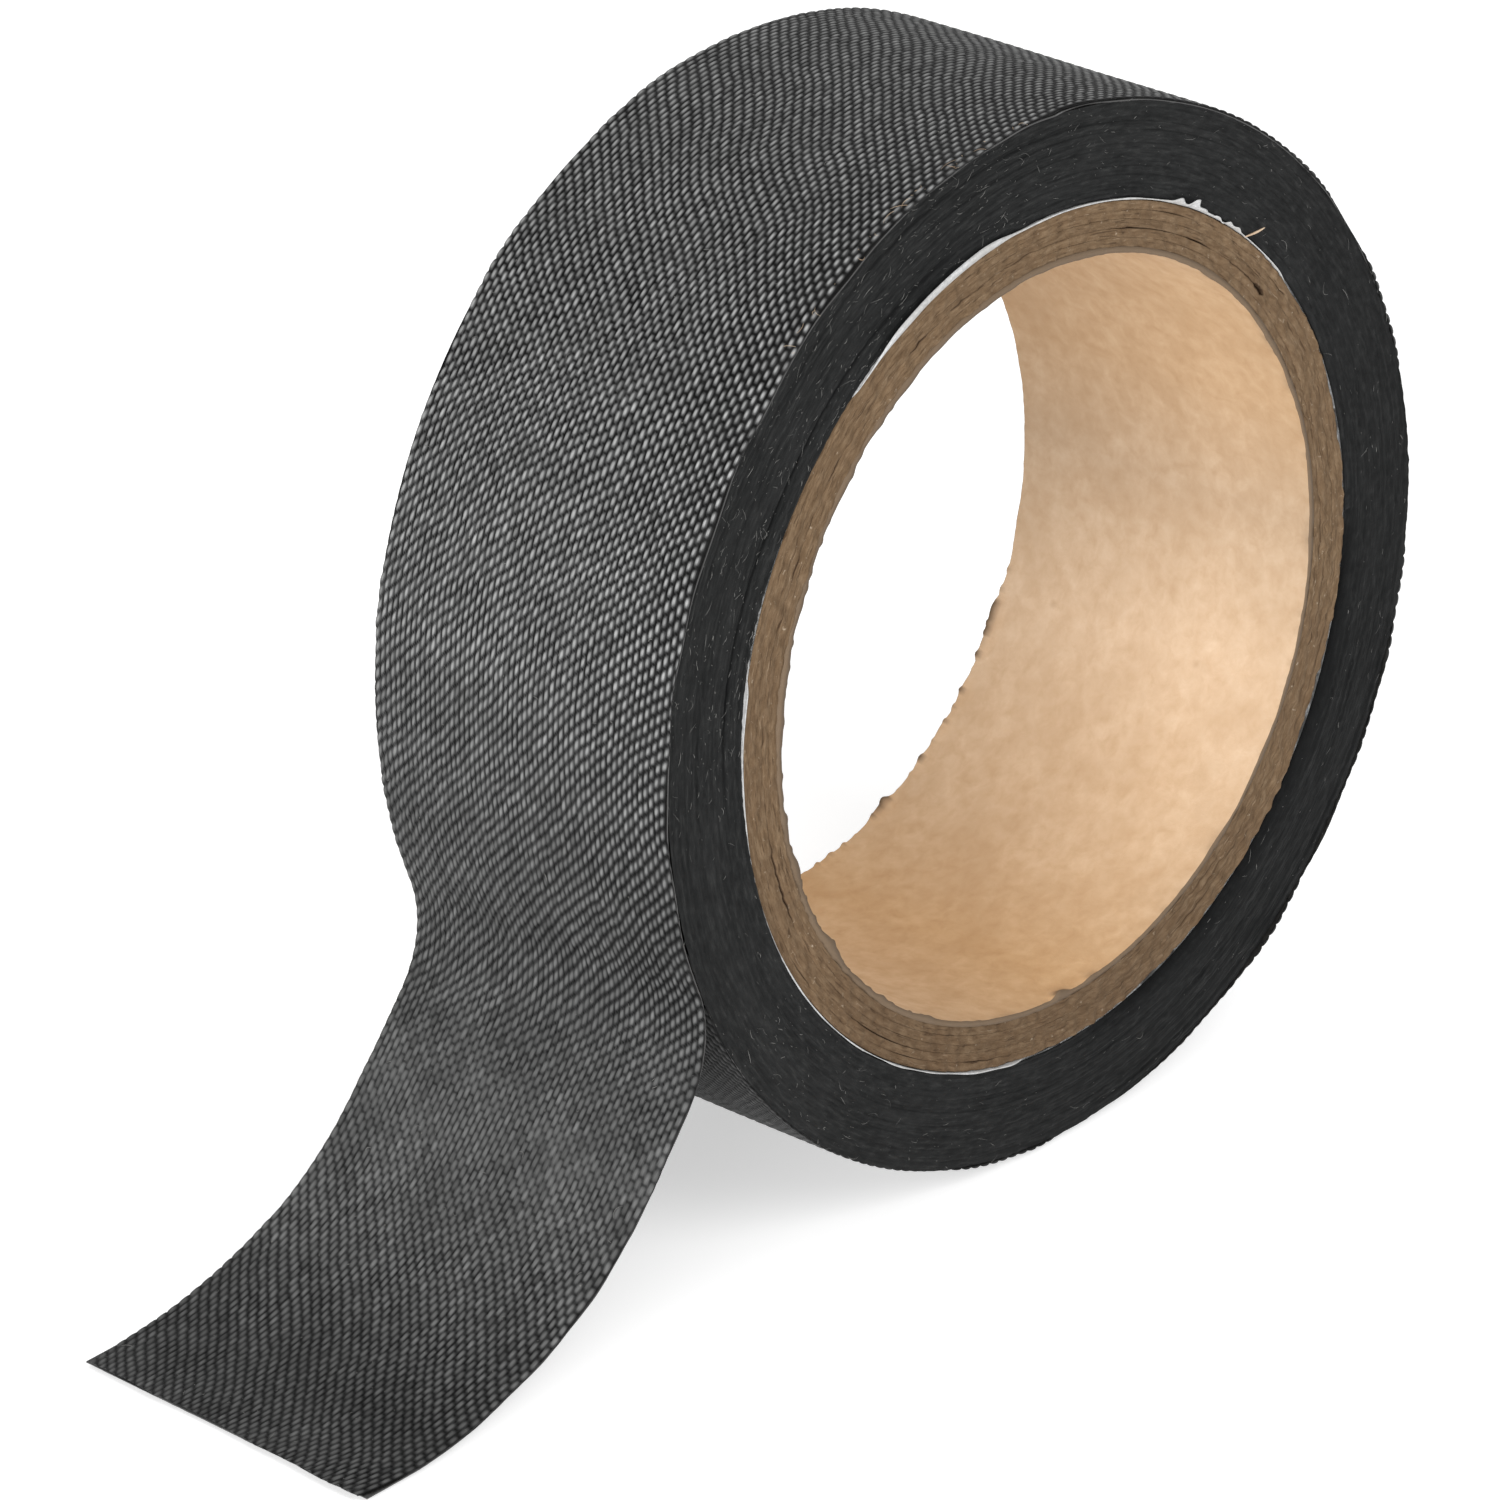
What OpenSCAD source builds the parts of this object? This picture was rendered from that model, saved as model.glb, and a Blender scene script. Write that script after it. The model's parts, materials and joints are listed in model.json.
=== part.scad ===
// Roll of woven cloth tape on a paperboard core, with a free tail.
// The roll's axis is Y, the origin is the middle of the bore, and the roll
// stands on its rim with the tail's end resting on the same surface.

/* [Core] */
// Radius of the bore through the core
bore_r = 25.4; // [19:0.1:38.1]
// Thickness of the smooth ply that lines the bore
liner_t = 0.4; // [0.2:0.05:0.8]
// Thickness of one board ply
ply_t = 0.6; // [0.4:0.05:1]
// Thickness of the white ply that the tape is stuck to
outer_ply_t = 0.2; // [0.1:0.05:0.5]

/* [Tape] */
// Width of the tape, and of the roll
tape_w = 25.4; // [12:0.1:50]
// Thickness of the woven cloth
cloth_t = 0.2; // [0.15:0.01:0.3]
// Thickness of the adhesive on the cloth's inner side
adhesive_t = 0.1; // [0.05:0.01:0.15]
// Turns wound on the core beneath the outermost turn
turns = 22; // [8:1:60]

/* [Tail] */
// Polar angle at which the tape leaves the roll, from +X towards +Z
peel_angle = 200.8; // [195:0.1:210]
// Length of the stretch that stays with the outermost turn
root_len = 5.6; // [4:0.8:6.4]
// Length of each bending stretch of the tail
segment_len = 7.2; // [5.6:0.8:8]

/* [Hidden] */

PLIES = 5;                  // board plies between the liner and the white ply
SEGMENTS = 5;               // bending stretches of the tail
RUNNING_GAP = 0.05;         // radial gap under the outermost turn
START_GAP = 12;             // degrees from the peel line to the outermost turn's start
HINGE_GAP = 0.02;           // gap around each bend line of the cloth
STEP = 0.8;                 // spacing of the points along the tail
$fn = 96;

ply_start_r = bore_r + liner_t;
outer_ply_r = ply_start_r + PLIES * ply_t;
core_r = outer_ply_r + outer_ply_t;
tape_t = cloth_t + adhesive_t;
turn_r = core_r + turns * tape_t;
roll_r = turn_r + tape_t;

// The tail runs along a curve through the middle of the cloth. Its heading
// turns away from the roll by these angles, at these fractions of its length:
// a crease near the peel line, a straighter stretch, then a slow curl.
TAIL_TURN = [[0, 0], [0.19, 58], [0.38, 62], [0.58, 82], [0.77, 96], [0.96, 109], [1, 111]];
tail_len = root_len + SEGMENTS * segment_len;
root_steps = round(root_len / STEP);
segment_steps = round(segment_len / STEP);
tail_steps = root_steps + SEGMENTS * segment_steps;

function heading(s) = peel_angle + 90 - lookup(s / tail_len, TAIL_TURN);
function along(a) = [cos(a), sin(a)];
function inward(i) = along(heading(i * STEP) + 90);
function cloth_mid_r() = roll_r - cloth_t / 2;

TAIL = [
    for (i = 0, p = cloth_mid_r() * along(peel_angle);
         i <= tail_steps;
         i = i + 1, p = p + STEP * along(heading((i - 0.5) * STEP)))
        p
];

function bend_index(k) = root_steps + (k - 1) * segment_steps;
function start_index(k) = max(0, bend_index(k));

// Side outline of a layer of the tail, between two offsets from the cloth's middle
function layer_outline(from, to, low, high) = concat(
    [for (i = [from:to]) TAIL[i] + low * inward(i)],
    [for (i = [to:-1:from]) TAIL[i] + high * inward(i)]
);

module across() {
    rotate([90, 0, 0])
        linear_extrude(tape_w, center = true)
            children();
}

module ring(inner_r, outer_r) {
    rotate([90, 0, 0])
        difference() {
            cylinder(h = tape_w, r = outer_r, center = true);
            cylinder(h = tape_w + 2, r = inner_r, center = true);
        }
}

module open_ring(inner_r, outer_r) {
    rotate([90, 0, 0])
        rotate_extrude(start = peel_angle + START_GAP, angle = 360 - START_GAP)
            translate([inner_r, -tape_w / 2])
                square([outer_r - inner_r, tape_w]);
}

module bend_pin(k, r, extra = 0) {
    p = TAIL[bend_index(k)];
    translate([p[0], 0, p[1]])
        rotate([90, 0, 0])
            cylinder(h = tape_w + extra, r = r, center = true);
}

// A stretch of cloth from one bend line to the next: a hollow edge at its
// start turns on the round edge of the stretch before it.
// Stretch 0 is the tail's root, which stays with the outermost turn.
module cloth_stretch(k) {
    outline = layer_outline(start_index(k), bend_index(k + 1), -cloth_t / 2, cloth_t / 2);
    difference() {
        union() {
            across() polygon(outline);
            if (k < SEGMENTS) bend_pin(k + 1, cloth_t / 2);
        }
        if (k > 0) bend_pin(k, cloth_t / 2 + HINGE_GAP, 2);
    }
}

module adhesive_stretch(k) {
    relief_r = tape_t - cloth_t / 2 + HINGE_GAP;
    outline = layer_outline(start_index(k), bend_index(k + 1), cloth_t / 2, tape_t - cloth_t / 2);
    difference() {
        across() polygon(outline);
        if (k > 0) bend_pin(k, relief_r, 2);
        if (k < SEGMENTS) bend_pin(k + 1, relief_r, 2);
    }
}

module core_liner() {
    color("burlywood") ring(bore_r, ply_start_r);
}

module core_ply(i) {
    color("rosybrown") ring(ply_start_r + (i - 1) * ply_t, ply_start_r + i * ply_t);
}

module core_outer_ply() {
    color("whitesmoke") ring(outer_ply_r, core_r);
}

module wound_tape() {
    color([0.15, 0.15, 0.16]) ring(core_r, turn_r - RUNNING_GAP);
}

module outer_turn_cloth() {
    color([0.28, 0.28, 0.29]) open_ring(turn_r + adhesive_t, roll_r);
}

module outer_turn_adhesive() {
    color([0.08, 0.08, 0.08]) open_ring(turn_r, turn_r + adhesive_t);
}

module tail_cloth(k) {
    color([0.28, 0.28, 0.29]) cloth_stretch(k);
}

module tail_adhesive(k) {
    color([0.08, 0.08, 0.08]) adhesive_stretch(k);
}

core_liner();
core_ply(1);  // core_ply_1
core_ply(2);  // core_ply_2
core_ply(3);  // core_ply_3
core_ply(4);  // core_ply_4
core_ply(5);  // core_ply_5
core_outer_ply();
wound_tape();
outer_turn_cloth();
outer_turn_adhesive();
tail_cloth(0);  // tail_root_cloth
tail_adhesive(0);  // tail_root_adhesive
tail_cloth(1);  // tail_1_cloth
tail_adhesive(1);  // tail_1_adhesive
tail_cloth(2);  // tail_2_cloth
tail_adhesive(2);  // tail_2_adhesive
tail_cloth(3);  // tail_3_cloth
tail_adhesive(3);  // tail_3_adhesive
tail_cloth(4);  // tail_4_cloth
tail_adhesive(4);  // tail_4_adhesive
tail_cloth(5);  // tail_5_cloth
tail_adhesive(5);  // tail_5_adhesive
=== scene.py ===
"""Looks of a roll of woven cloth tape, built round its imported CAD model.

Distances s run along the tape in metres: 0 at the peel line, positive on the tail, negative back round
the roll. Places u run across it, from 0 at the near edge. Seeds only choose one random pattern.
"""
import json
import math

import bpy
import numpy as np
from mathutils import Matrix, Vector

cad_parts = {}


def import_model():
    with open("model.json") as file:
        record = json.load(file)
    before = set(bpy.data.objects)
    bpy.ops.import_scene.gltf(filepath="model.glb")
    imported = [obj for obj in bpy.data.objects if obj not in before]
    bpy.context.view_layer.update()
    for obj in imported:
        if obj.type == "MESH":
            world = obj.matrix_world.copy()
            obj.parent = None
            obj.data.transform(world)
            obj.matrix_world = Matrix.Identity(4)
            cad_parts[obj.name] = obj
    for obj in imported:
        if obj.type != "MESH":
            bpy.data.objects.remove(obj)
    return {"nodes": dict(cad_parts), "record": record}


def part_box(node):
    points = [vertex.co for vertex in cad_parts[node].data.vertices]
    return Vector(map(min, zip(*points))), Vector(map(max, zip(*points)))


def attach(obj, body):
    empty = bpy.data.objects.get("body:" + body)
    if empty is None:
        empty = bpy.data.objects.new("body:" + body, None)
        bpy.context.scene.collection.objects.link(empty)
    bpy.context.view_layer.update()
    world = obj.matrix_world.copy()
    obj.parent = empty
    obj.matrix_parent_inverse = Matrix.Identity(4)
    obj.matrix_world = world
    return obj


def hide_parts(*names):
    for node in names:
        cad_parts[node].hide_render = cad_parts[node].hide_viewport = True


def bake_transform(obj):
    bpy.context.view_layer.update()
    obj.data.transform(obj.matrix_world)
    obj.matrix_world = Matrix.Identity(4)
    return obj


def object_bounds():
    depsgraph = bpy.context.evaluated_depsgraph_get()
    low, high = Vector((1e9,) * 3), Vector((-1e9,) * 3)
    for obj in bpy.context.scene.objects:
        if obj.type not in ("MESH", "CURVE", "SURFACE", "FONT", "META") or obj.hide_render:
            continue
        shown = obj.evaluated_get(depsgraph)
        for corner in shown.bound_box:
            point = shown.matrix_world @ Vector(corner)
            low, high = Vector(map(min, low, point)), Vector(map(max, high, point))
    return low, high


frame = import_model()
cad_low, cad_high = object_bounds()

MM = 0.001
TURN = 2 * math.pi

# -------- sizes from the frame
BORE_R = frame["record"]["mounts"][0]["dims"]["r_mm"] * MM
LINER_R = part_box("core_liner")[1].x
PLIES = [name for name in sorted(frame["nodes"]) if name.startswith("core_ply_")]
PLY_RADII = [LINER_R] + [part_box(name)[1].x for name in PLIES]
CORE_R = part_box("core_outer_ply")[1].x
ROLL_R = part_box("outer_turn_cloth")[1].z
GLUE_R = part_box("outer_turn_adhesive")[1].z
HALF_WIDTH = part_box("wound_tape")[1].y
CLOTH_T = ROLL_R - GLUE_R
GLUE_T = 0.1 * MM
TAPE_T = CLOTH_T + GLUE_T
TURNS = round((ROLL_R - TAPE_T - CORE_R) / TAPE_T)
UNDER_GAP = 0.1 * MM  # room under the outermost turn
BLOCK_R = ROLL_R - TAPE_T - UNDER_GAP  # outside of the wound block
NEAR, FAR = -1, 1  # the side towards the camera, and the side away from it

# -------- the tail, as in the CAD model
PEEL_ANGLE = math.radians(200.8)  # polar angle where the tape leaves the roll, from +X towards +Z
ROOT_LEN = 5.6 * MM
SEGMENT_LEN = 7.2 * MM
SEGMENTS = 5
TAIL_LEN = ROOT_LEN + SEGMENTS * SEGMENT_LEN
TURN_AT = (0, 0.19, 0.38, 0.58, 0.77, 0.96, 1)  # shares of the tail's length ...
TURN_DEG = (0, 58, 62, 82, 96, 109, 111)  # ... and its turn away from the roll there

# -------- the weave
COLUMNS = 57  # warp yarns across the tape
COLUMN = 2 * HALF_WIDTH / COLUMNS
ROW_STEP = 0.4 * MM / 3  # divides every length at which the tail is split
FLOAT_PERIOD = 7 * ROW_STEP  # from one float of a warp yarn to the next
SAMPLES = 4  # mesh columns in one yarn
RELIEF = 0.14 * MM  # height of a float over the gaps
FLOAT_SHARPNESS = 2.2  # how square a float's ends are
FLOATS_LISTED = 512  # floats of one yarn with a tone of their own
TONE_SPREAD = 0.15  # how much the floats' tones differ
UNEVEN = 0.035  # how far floats stray along their yarn, in floats
LEAN_NEAR, LEAN_RISE = 0.65, 0.7  # share of the slant at the near edge, and its rise across
NEAR_BAND = 9 * MM  # strip along the near edge with rounder, brighter floats
# How the weave lies at these places along the tape, in mm past the peel line: the slant of a float
# across its yarn, the depth of the gaps between two yarns and between two floats, and the painted light
# and shade: painted shadow on the roll's underside behind the tail and on the tail, painted light on the
# roll's left side.
WEAVE_AT = (-230, -190, -150, -60, -44, -34, -20, -6, 3, 8, 14, 24, 34, 42)
LEAN = (0, 0, 0, 0.13, 0.05, -0.14, -0.24, -0.3, -0.3, -0.1, 0.02, 0.09, 0.15, 0.15)
SIDE_GAP = (0.8, 0.8, 0.8, 1, 1, 0.9, 0.76, 0.52, 0.5, 0.42, 0.38, 0.55, 0.6, 0.6)
END_GAP = (0.8, 0.8, 0.8, 0.84, 0.84, 0.86, 0.84, 0.86, 0.84, 0.46, 0.3, 0.56, 0.7, 0.64)
PAINTED_LIGHT_AND_SHADE = (0.12, 0.24, 0.84, 0.96, 1.05, 1.13, 1.04, 0.54, 0.54, 0.47, 0.47, 0.56, 0.36, 0.42)


# ======== numbers
def waves(points, size, seed, count=24):
    """Smooth random values with a spread of 1 that change over about size, seamless round the roll."""
    rng = np.random.default_rng(seed)
    directions = rng.normal(size=(count, points.shape[-1]))
    directions /= np.linalg.norm(directions, axis=1, keepdims=True)
    rates = TURN / size * rng.uniform(0.6, 1.6, count)
    phases = rng.uniform(0, TURN, count)
    total = np.zeros(points.shape[:-1])
    for direction, rate, phase in zip(directions, rates, phases):
        total += np.cos(points @ (direction * rate) + phase)
    return total * math.sqrt(2 / count)


def bump(x, low, high, soft):
    """1 between low and high, falling smoothly to 0 over soft on both sides."""
    rise = np.clip((x - low) / soft + 1, 0, 1)
    fall = np.clip((high - x) / soft + 1, 0, 1)
    both = np.minimum(rise, fall)
    return both * both * (3 - 2 * both)


def joined(*parts):
    """Arrays of rows, side by side."""
    return np.concatenate(parts, axis=1)


def polar(radius, angle, y):
    """Points at a radius and polar angle round the roll's axis."""
    radius, angle, y = np.broadcast_arrays(radius, angle, y)
    return np.stack([radius * np.cos(angle), y, radius * np.sin(angle)], axis=-1)


def degrees_of(angle):
    """Polar angles in degrees, from 0 to 360."""
    return np.degrees(angle) % 360


# ======== meshes
def put_mesh(name, points, quads, caps=(), *, material, uv=None, values=None):
    """A smooth mesh object from an array of points and quads, with flat caps of any number of corners."""
    mesh = bpy.data.meshes.new(name)
    corner_lists = [quads.ravel()] + [np.asarray(cap) for cap in caps]
    corners = np.concatenate(corner_lists).astype(np.int32)
    sizes = np.array([4] * len(quads) + [len(cap) for cap in caps])
    starts = np.concatenate([[0], np.cumsum(sizes)[:-1]]).astype(np.int32)
    mesh.vertices.add(len(points))
    mesh.vertices.foreach_set("co", points.astype(np.float32).ravel())
    mesh.loops.add(len(corners))
    mesh.loops.foreach_set("vertex_index", corners)
    mesh.polygons.add(len(sizes))
    mesh.polygons.foreach_set("loop_start", starts)
    mesh.polygons.foreach_set("use_smooth", np.ones(len(sizes), bool))
    if uv is not None:
        layer = mesh.uv_layers.new(name="tape_mm")
        layer.data.foreach_set("uv", (uv[corners] / MM).astype(np.float32).ravel())
    for key, numbers in (values or {}).items():
        attribute = mesh.attributes.new(key, "FLOAT", "POINT")
        attribute.data.foreach_set("value", numbers.astype(np.float32).ravel())
    mesh.update(calc_edges=True)
    mesh.validate(clean_customdata=False)
    piece = bpy.data.objects.new(name, mesh)
    bpy.context.scene.collection.objects.link(piece)
    mesh.materials.append(material)
    return piece


def sweep_quads(rows, around, closed):
    """Quads of a sweep of closed sections, wrapped from the last row to the first if closed."""
    i, j = np.meshgrid(np.arange(rows if closed else rows - 1), np.arange(around), indexing="ij")
    next_i, next_j = (i + 1) % rows, (j + 1) % around
    corners = [i * around + j, next_i * around + j, next_i * around + next_j, i * around + next_j]
    return np.stack(corners, axis=-1).reshape(-1, 4)


def encloses(points, quads, caps):
    """Six times the signed volume of a swept shape, negative if its faces look inwards."""
    a, b, c, d = (points[quads[:, k]] for k in range(4))
    total = np.einsum("ij,ij->", np.cross(b - a, c - a) + np.cross(c - a, d - a), a)
    for cap in caps:
        ring = points[cap]
        total += np.einsum("ij,j->", np.cross(ring[1:-1] - ring[0], ring[2:] - ring[0]), ring[0])
    return total


def swept(name, sections, closed, **more):
    """A solid through an array of sections, shape (rows, around, 3), with its faces outwards."""
    rows, around = sections.shape[:2]
    points = sections.reshape(-1, 3)
    quads = sweep_quads(rows, around, closed)
    caps = []
    if not closed:
        caps = [np.arange(around), np.arange(around)[::-1] + (rows - 1) * around]
    if encloses(points, quads, caps) < 0:
        quads = quads[:, ::-1]
        caps = [cap[::-1] for cap in caps]
    return put_mesh(name, points, quads, caps, **more)


def strands(name, paths, radii, material):
    """Many thin fibres in one mesh, each tapering to its two ends. paths has shape (fibres, steps, 3)."""
    count, steps, sides = paths.shape[0], paths.shape[1], 4
    along = np.gradient(paths, axis=1)
    along /= np.linalg.norm(along, axis=-1, keepdims=True) + 1e-12
    first = np.cross(along, [0.3, 0.2, 0.93])
    first /= np.linalg.norm(first, axis=-1, keepdims=True) + 1e-12
    second = np.cross(along, first)
    taper = np.sin(np.linspace(0.12, 0.88, steps) * math.pi)
    angles = np.arange(sides) * TURN / sides
    size = (radii[:, None] * taper)[..., None, None]
    rings = paths[:, :, None] + size * (
        first[:, :, None] * np.cos(angles)[:, None] + second[:, :, None] * np.sin(angles)[:, None]
    )
    one = sweep_quads(steps, sides, False)
    ends = np.array([np.arange(sides), np.arange(sides)[::-1] + (steps - 1) * sides])
    faces = np.concatenate([one, ends])
    quads = (faces[None] + (np.arange(count) * steps * sides)[:, None, None]).reshape(-1, 4)
    return put_mesh(name, rings.reshape(-1, 3), quads, material=material)


# ======== material nodes
def add(tree, kind, inputs=None, **settings):
    """A new shader node. An input is a number, a colour or another node's socket."""
    made = tree.nodes.new("ShaderNode" + kind)
    for key, value in settings.items():
        setattr(made, key, value)
    for key, value in (inputs or {}).items():
        if isinstance(value, bpy.types.NodeSocket):
            tree.links.new(value, made.inputs[key])
        else:
            made.inputs[key].default_value = value
    return made


def grey(value):
    return (value, value, value, 1)


def new_material(name, **shader_inputs):
    """A material with one Principled shader, its tree and the shader node."""
    material = bpy.data.materials.new(name)
    material.use_nodes = True
    tree = material.node_tree
    shader = tree.nodes["Principled BSDF"]
    for key, value in shader_inputs.items():
        shader.inputs[key.replace("_", " ")].default_value = value
    return material, tree, shader


def noise(tree, place, scale, detail=2.0, roughness=0.5, distortion=0.0):
    made = add(tree, "TexNoise", {"Vector": place, "Scale": scale, "Detail": detail,
                                  "Roughness": roughness, "Distortion": distortion})
    return made.outputs["Fac"]


def stretched(tree, place, x, y, z):
    return add(tree, "Mapping", {"Vector": place, "Scale": (x, y, z)}).outputs["Vector"]


def ramp(tree, value, *stops):
    """Colours by value, from (place, colour) pairs."""
    made = add(tree, "ValToRGB", {"Fac": value})
    points = made.color_ramp.elements
    while len(points) < len(stops):
        points.new(0.5)
    for point, (place, colour) in zip(points, stops):
        point.position = place
        point.color = (*colour, 1)[:4]
    return made.outputs["Color"]


def sum_of(tree, a, b, operation="ADD"):
    made = add(tree, "Math", {0: a, 1: b}, operation=operation)
    return made.outputs["Value"]


def spread_over(tree, value, low, high, to_low, to_high):
    made = add(tree, "MapRange", {"Value": value, "From Min": low, "From Max": high,
                                  "To Min": to_low, "To Max": to_high})
    return made.outputs["Result"]


def mixed(tree, share, a, b, blend="MIX"):
    made = add(tree, "Mix", data_type="RGBA", blend_type=blend)
    for index, value in ((0, share), (6, a), (7, b)):
        if isinstance(value, bpy.types.NodeSocket):
            tree.links.new(value, made.inputs[index])
        else:
            made.inputs[index].default_value = value
    return made.outputs[2]


def times(tree, colour, value):
    """A colour made darker or lighter by a number's socket."""
    as_grey = add(tree, "CombineColor", {0: value, 1: value, 2: value}).outputs[0]
    return mixed(tree, 1.0, colour, as_grey, "MULTIPLY")


def tinted(tree, colour, *tints):
    """A colour with others mixed in: each a value, where it starts and is full, a share and the colour."""
    for value, start, full, share, other in tints:
        colour = mixed(tree, spread_over(tree, value, start, full, 0.0, share), colour, (*other, 1))
    return colour


def specks(tree, place, scale, size, chances, share):
    """How much of a round speck is at a place: some of the cells of that scale have one."""
    cell = add(tree, "TexVoronoi", {"Vector": place, "Scale": scale, "Randomness": 1.0}).outputs
    here = spread_over(tree, cell["Distance"], 0.0, size, 1.0, 0.0)
    chance = add(tree, "SeparateColor", {"Color": cell["Color"]}).outputs[0]
    return sum_of(tree, here, spread_over(tree, chance, *chances, 0.0, share), "MULTIPLY")


def bumped(tree, shader, height, distance, strength=1.0):
    made = add(tree, "Bump", {"Height": height, "Distance": distance, "Strength": strength})
    tree.links.new(made.outputs["Normal"], shader.inputs["Normal"])


def place_on(tree):
    """Where a point is on the part, for noise."""
    return add(tree, "TexCoord").outputs["Object"]


def coloured(tree, shader, colour, roughness=None):
    tree.links.new(colour, shader.inputs["Base Color"])
    if roughness:
        tree.links.new(roughness, shader.inputs["Roughness"])


def attribute(tree, name):
    return add(tree, "Attribute", attribute_name=name).outputs["Fac"]


def round_the_axis(tree, around, outward, across):
    """A place for noise that runs round the roll without a seam, stretched along the turns."""
    place = place_on(tree)
    parts = add(tree, "SeparateXYZ", {"Vector": place}).outputs
    flat = add(tree, "CombineXYZ", {"X": parts["X"], "Y": 0.0, "Z": parts["Z"]}).outputs["Vector"]
    radius = add(tree, "VectorMath", {0: flat}, operation="LENGTH").outputs["Value"]
    unit = add(tree, "VectorMath", {0: flat}, operation="NORMALIZE").outputs["Vector"]
    scaled = add(tree, "VectorMath", {0: unit, "Scale": around}, operation="SCALE").outputs["Vector"]
    side = sum_of(tree, sum_of(tree, radius, outward, "MULTIPLY"),
                  sum_of(tree, parts["Y"], across, "MULTIPLY"))
    lifted = add(tree, "CombineXYZ", {"X": 0.0, "Y": side, "Z": 0.0}).outputs["Vector"]
    return add(tree, "VectorMath", {0: scaled, 1: lifted}, operation="ADD").outputs["Vector"]


def cloth_material():
    """Black yarns, coloured by the height of the mesh's own weave, with painted shade in the gaps and a
    painted sheen on the crests, painted light and shade along the tape, and fibres, dust and lint.
    """
    material, tree, shader = new_material("tape_cloth_weave", Roughness=0.5, Sheen_Weight=0.03,
                                          Sheen_Roughness=0.4, Specular_IOR_Level=0.1)
    place = add(tree, "UVMap", uv_map="tape_mm").outputs["UV"]
    height = attribute(tree, "weave")
    # painted shade: the gaps go near black; painted sheen: the crests go pale grey
    base = ramp(tree, height, (0.2, grey(0.0008)), (0.5, grey(0.01)),
                (0.76, (0.06, 0.0605, 0.0605)), (1.0, (0.23, 0.231, 0.228)))
    # each float's tone, times the painted light and shade along the tape
    toned_and_lit = times(tree, base, attribute(tree, "tone_and_painted_light"))
    fibre = noise(tree, stretched(tree, place, 16, 1.6, 1), 1.0, 3, 0.6)
    grained = times(tree, toned_and_lit, spread_over(tree, fibre, 0.25, 0.75, 0.8, 1.22))
    dust = noise(tree, place, 0.22, 4, 0.6)
    dusty = tinted(tree, grained, (dust, 0.45, 0.85, 0.1, (0.085, 0.084, 0.08)))
    speck = specks(tree, place, 0.75, 0.055, (0.8, 0.82), 0.55)
    colour = mixed(tree, speck, dusty, (0.34, 0.33, 0.3, 1))
    coloured(tree, shader, colour, spread_over(tree, fibre, 0.2, 0.8, 0.62, 0.44))
    bumped(tree, shader, fibre, 0.03 * MM, 0.7)
    return material


def glue_material():
    material, tree, shader = new_material("tape_adhesive_rubber", Roughness=0.3, Coat_Weight=0.25,
                                          Coat_Roughness=0.18)
    place = add(tree, "UVMap", uv_map="tape_mm").outputs["UV"]
    lumps = noise(tree, place, 1.4, 4, 0.65)
    weave_marks = noise(tree, stretched(tree, place, 4.3, 2.2, 1), 1.0, 1)
    colour = ramp(tree, lumps, (0.3, (0.010, 0.010, 0.010)), (0.7, (0.024, 0.023, 0.021)))
    coloured(tree, shader, colour, spread_over(tree, lumps, 0.3, 0.7, 0.22, 0.46))
    bumped(tree, shader, sum_of(tree, lumps, sum_of(tree, weave_marks, 0.5, "MULTIPLY")), 0.03 * MM, 0.8)
    return material


def winding_material():
    material, tree, shader = new_material("wound_layer_edges", Roughness=0.7, Specular_IOR_Level=0.1)
    streak = noise(tree, round_the_axis(tree, 22.0, 3800.0, 1500.0), 1.0, 5, 0.66)
    smear = noise(tree, round_the_axis(tree, 6.0, 500.0, 60.0), 1.0, 4, 0.6)
    place = place_on(tree)
    grain = noise(tree, place, 9000.0, 2, 0.6)
    base = ramp(tree, streak, (0.3, (0.005, 0.0053, 0.0054)), (0.55, (0.0098, 0.0102, 0.0102)),
                (0.75, (0.024, 0.0245, 0.0238)))
    smeared = tinted(tree, base, (smear, 0.45, 0.8, 0.4, (0.021, 0.0214, 0.0214)))
    # painted shade: near black in the seams between layers, on the sunk layers, in the hollow beside the
    # core and towards +X on each face
    with_painted_shade = mixed(tree, attribute(tree, "painted_shade"), smeared, (0.0015, 0.0016, 0.0018, 1))
    colour = tinted(tree, with_painted_shade, (grain, 0.73, 0.8, 0.4, (0.11, 0.108, 0.098)))
    coloured(tree, shader, colour, spread_over(tree, streak, 0.3, 0.7, 0.72, 0.5))
    bumped(tree, shader, sum_of(tree, streak, sum_of(tree, grain, 0.6, "MULTIPLY")), 0.05 * MM, 0.8)
    return material


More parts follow.
